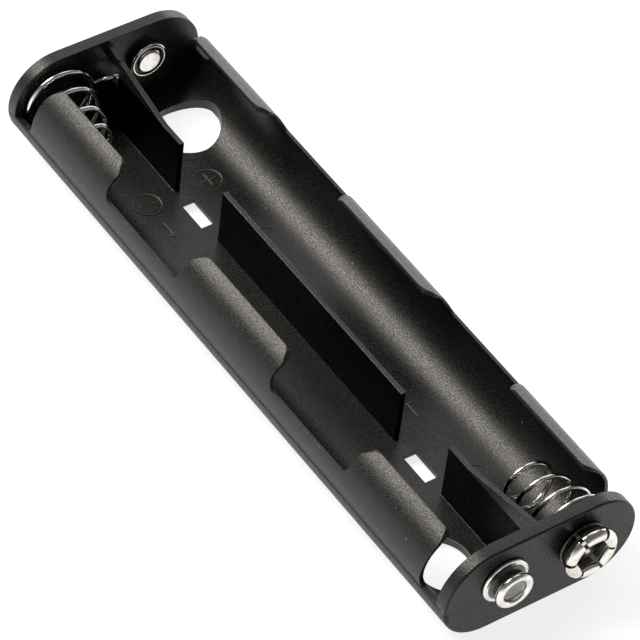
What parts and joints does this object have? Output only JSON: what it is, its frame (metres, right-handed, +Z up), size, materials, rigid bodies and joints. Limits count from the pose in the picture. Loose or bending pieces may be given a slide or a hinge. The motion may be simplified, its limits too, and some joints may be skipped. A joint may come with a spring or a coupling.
{
  "type": "cylindrical cell holder",
  "caption": "Long open tray that holds round cells in two channels, with coil-spring contacts inside and snap terminals on one end.",
  "frame": {"origin": "on the underside of the tray, midway between the end plates and between the side walls", "axes": "+Z up out of the channels, +Y along the channels away from the plate with the snap terminals, +X towards the channel of the socket terminal"},
  "size_m": [0.0316, 0.1128, 0.0151],
  "materials": {
    "moulded_black": "fine matte grain",
    "snap_nickel": "bright nickel plating",
    "spring_wire": "bright nickel-plated wire"
  },
  "bodies": {
    "tray": {"housing": "moulded_black", "positive_snap": "snap_nickel", "positive_rivet": "snap_nickel", "negative_snap": "snap_nickel", "negative_rivet": "snap_nickel", "positive_contact": "snap_nickel"},
    "near_coil": {"negative_spring": "spring_wire"},
    "far_coil": {"bridge_spring": "spring_wire"}
  },
  "joints": [
    {"name": "near_coil_squeeze", "type": "slide", "parent": "tray", "child": "near_coil", "axis": [0, -1, 0], "range_m": [0, 0.009], "stiffness_N_per_m": 300, "deforming": ["negative_spring"]},
    {"name": "far_coil_squeeze", "type": "slide", "parent": "tray", "child": "far_coil", "axis": [0, 1, 0], "range_m": [0, 0.009], "stiffness_N_per_m": 300, "deforming": ["bridge_spring"]}
  ]
}
